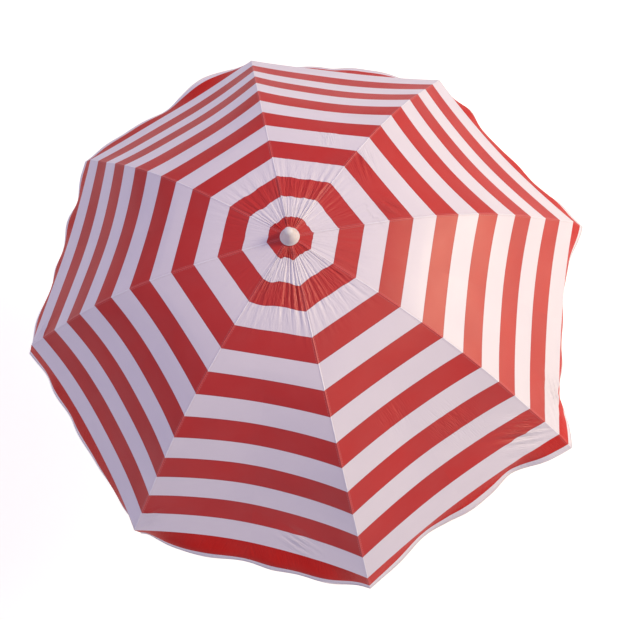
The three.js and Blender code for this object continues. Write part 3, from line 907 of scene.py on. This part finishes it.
# a painted tube with a rolled lip at both ends
def makeTube(nodeName, body):
    low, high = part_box(nodeName)
    outer = high.x
    inner = outer - tube["wall"]
    lip = tube["rolled"]
    outline = [
        (inner, low.z), (outer - lip * 0.4, low.z), (outer, low.z + lip),
        (outer, high.z - lip), (outer - lip * 0.4, high.z), (inner, high.z), (inner, low.z),
    ]
    makeTurned(nodeName + "_tube", outline, tubePaint, body, "white_tube", nodeName)


sandTip = {
    "fins": 5,
    "pitch": 0.013,      # from one fin to the next
    "firstFin": 0.036,   # its height
    "depth": 0.0011,     # how much the stem between fins is thinner
    "plugWall": 0.0013,  # the pole's wall and its play, round the plug
}


# the moulded point that goes into the sand, with a collar and shallow grooves to grip it
def makeSandTip():
    low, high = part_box("sand_tip")
    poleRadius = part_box("lower_pole")[1].x
    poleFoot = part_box("lower_pole")[0].z - 0.0003
    outline = [(0, low.z), (0.0018, low.z), (0.003, low.z + 0.0015), (0.008, 0.030)]
    for i in range(sandTip["fins"]):
        z = sandTip["firstFin"] + i * sandTip["pitch"]
        r = mix(0.0085, poleRadius - 0.0008, i / (sandTip["fins"] - 1))
        stem = r - sandTip["depth"]
        outline += [(r, z), (r, z + 0.007), (stem, z + 0.0085), (stem, z + 0.0115)]
    plug = poleRadius - sandTip["plugWall"]
    outline += [(poleRadius, 0.1025), (poleRadius, poleFoot), (plug, poleFoot)]
    outline += [(plug, high.z - 0.002), (poleRadius - 0.003, high.z), (0, high.z)]
    makeTurned("sandTip", outline, whitePlastic, "ground_pole", "white_plastic", "sand_tip")


# swings a piece's mesh from the pole's axis to a screw's axis along +X
def layAlongX(piece, x, z):
    turn = Matrix.Translation((x, 0, z)) @ Matrix.Rotation(math.pi / 2, 4, "Y")
    piece.data.transform(turn)


clamp = {
    "body": 0.018,
    "foot": 0.0172,
    "fit": 0.0003,          # play round the tubes
    "bossRadius": 0.008,
    "bossLength": 0.0092,
    "boreRadius": 0.0033,   # of the screw's hole
    "grooves": 3,
    "groovePitch": 0.006,
    "grooveDepth": 0.0009,
    "lobes": 4,
    "lobeInner": 0.0066,
    "lobeOuter": 0.0138,
    "knobThickness": 0.008,
    "knobSteps": 96,
    "neckRadius": 0.008,
    "threads": 16,
    "crest": 0.0029,        # radius of the screw on its thread
    "root": 0.0025,         # and between the turns
    "threadPitch": 0.001,
}


# the collar that clamps the pole's two tubes: rounded at both ends, with three grip grooves
def makeCollar():
    low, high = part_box("clamp_collar")
    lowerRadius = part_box("lower_pole")[1].x + clamp["fit"]
    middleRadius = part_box("middle_pole")[1].x + clamp["fit"]
    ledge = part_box("lower_pole")[1].z + clamp["fit"]
    body, foot = clamp["body"], clamp["foot"]
    outline = [(lowerRadius, low.z), (foot - 0.001, low.z), (foot, low.z + 0.001), (foot, low.z + 0.005)]
    outline += [(body, low.z + 0.0065)]
    groove = body - clamp["grooveDepth"]
    for i in range(clamp["grooves"]):
        z = low.z + 0.010 + i * clamp["groovePitch"]
        outline += [(body, z), (groove, z + 0.0008), (groove, z + 0.0022), (body, z + 0.003)]
    outline += [(body, high.z - 0.005), (body - 0.0006, high.z - 0.0022), (body - 0.002, high.z)]
    outline += [(middleRadius, high.z), (middleRadius, ledge), (lowerRadius, ledge), (lowerRadius, low.z)]
    makeTurned("clampCollar", outline, whitePlastic, "ground_pole", "white_plastic", "clamp_collar")
    centre = (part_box("clamp_knob")[0].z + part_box("clamp_knob")[1].z) / 2
    boss, bore, length = clamp["bossRadius"], clamp["boreRadius"], clamp["bossLength"]
    outline = [(bore, 0), (boss + 0.0006, 0), (boss + 0.0006, 0.0012), (boss, 0.002), (boss, 0.0085)]
    outline += [(boss - 0.0006, length), (bore, length), (bore, 0)]
    piece = makeTurned("clampBoss", outline, whitePlastic, "ground_pole", "white_plastic", "clamp_collar")
    layAlongX(piece, high.x - length, centre)


# the clamp's knob: four soft lobes on a threaded steel screw
def makeKnob():
    low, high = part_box("clamp_knob")
    centre = (low.z + high.z) / 2
    mesh = bpy.data.meshes.new("clampKnob")
    piece = bpy.data.objects.new("clampKnob", mesh)
    scene.collection.objects.link(piece)
    mean = (clamp["lobeOuter"] + clamp["lobeInner"]) / 2
    swing = (clamp["lobeOuter"] - clamp["lobeInner"]) / 2
    ring = []
    steps, thickness = clamp["knobSteps"], clamp["knobThickness"]
    for i in range(steps):
        a = 2 * math.pi * i / steps
        r = mean + swing * math.cos(clamp["lobes"] * a)
        ring.append((high.x - thickness, r * math.sin(a), centre + r * math.cos(a)))
    mesh.from_pydata(ring, [], [tuple(range(steps))])
    clear()
    piece.select_set(True)
    bpy.context.view_layer.objects.active = piece
    bpy.ops.object.mode_set(mode="EDIT")
    bpy.ops.mesh.select_all(action="SELECT")
    bpy.ops.mesh.extrude_region_move(TRANSFORM_OT_translate={"value": (thickness, 0, 0)})
    bpy.ops.mesh.select_all(action="SELECT")
    bpy.ops.mesh.normals_make_consistent(inside=False)
    bpy.ops.object.mode_set(mode="OBJECT")
    bevel = piece.modifiers.new("bevel", "BEVEL")
    bevel.width = 0.0014
    bevel.segments = 3
    bevel.angle_limit = math.radians(60)
    bpy.ops.object.modifier_apply(modifier="bevel")
    bpy.ops.object.shade_smooth_by_angle(angle=math.radians(40))
    finishPiece(piece, redPlastic, "clamp_screw", "red_plastic", "clamp_knob")
    radius = clamp["neckRadius"]
    neck = [(0, 0), (radius - 0.0005, 0), (radius, 0.0005), (radius, 0.0026), (0, 0.0026)]
    hub = makeTurned("clampKnobNeck", neck, redPlastic, "clamp_screw", "red_plastic", "clamp_knob")
    layAlongX(hub, high.x - 0.010, centre)
    crest, root, pitch = clamp["crest"], clamp["root"], clamp["threadPitch"]
    thread = [(0, 0), (0.0022, 0), (crest, 0.0008)]
    for i in range(clamp["threads"]):
        thread += [(crest, 0.001 + i * pitch), (root, 0.0015 + i * pitch)]
    thread += [(crest, 0.0172), (0, 0.0172)]
    screw = makeTurned("clampScrew", thread, steel, "clamp_screw", "rib_steel", "clamp_knob")
    layAlongX(screw, low.x, centre)


def makeFloor():
    clear()
    bpy.ops.mesh.primitive_plane_add(size=40, location=(0, 0, 0))
    floor = bpy.context.object
    floor.name = "floor"
    material, tree, shader = newMaterial("floorPaper")
    shader.inputs["Base Color"].default_value = (0.80, 0.80, 0.74, 1)
    shader.inputs["Roughness"].default_value = 0.9
    shader.inputs["Emission Color"].default_value = (1.0, 0.98, 0.88, 1)
    shader.inputs["Emission Strength"].default_value = 0.62
    floor.data.materials.append(material)


nodeMaterials = {
    "white_plastic": whitePlastic,
    "red_plastic": redPlastic,
    "rib_steel": steel,
    "white_tube": tubePaint,
}


def paintNodes():
    for subpart in frame["record"]["subparts"]:
        material = nodeMaterials.get(subpart["material_slot"])
        if material:
            nodes[subpart["node"]].data.materials.clear()
            nodes[subpart["node"]].data.materials.append(material)


makeCamera()
makeLights()
makeFloor()
print("camera, lights and floor made")
paintNodes()
for rib in ribNumbers:
    makeGore(rib)
    makeValance(rib)
print("canopy and valance made")
makePatch()
makeFinial()
makeTube("lower_pole", "ground_pole")
makeTube("middle_pole", "upper_pole")
makeTube("mast", "mast")
makeSandTip()
makeCollar()
makeKnob()
print("crown, pole and sand tip made")
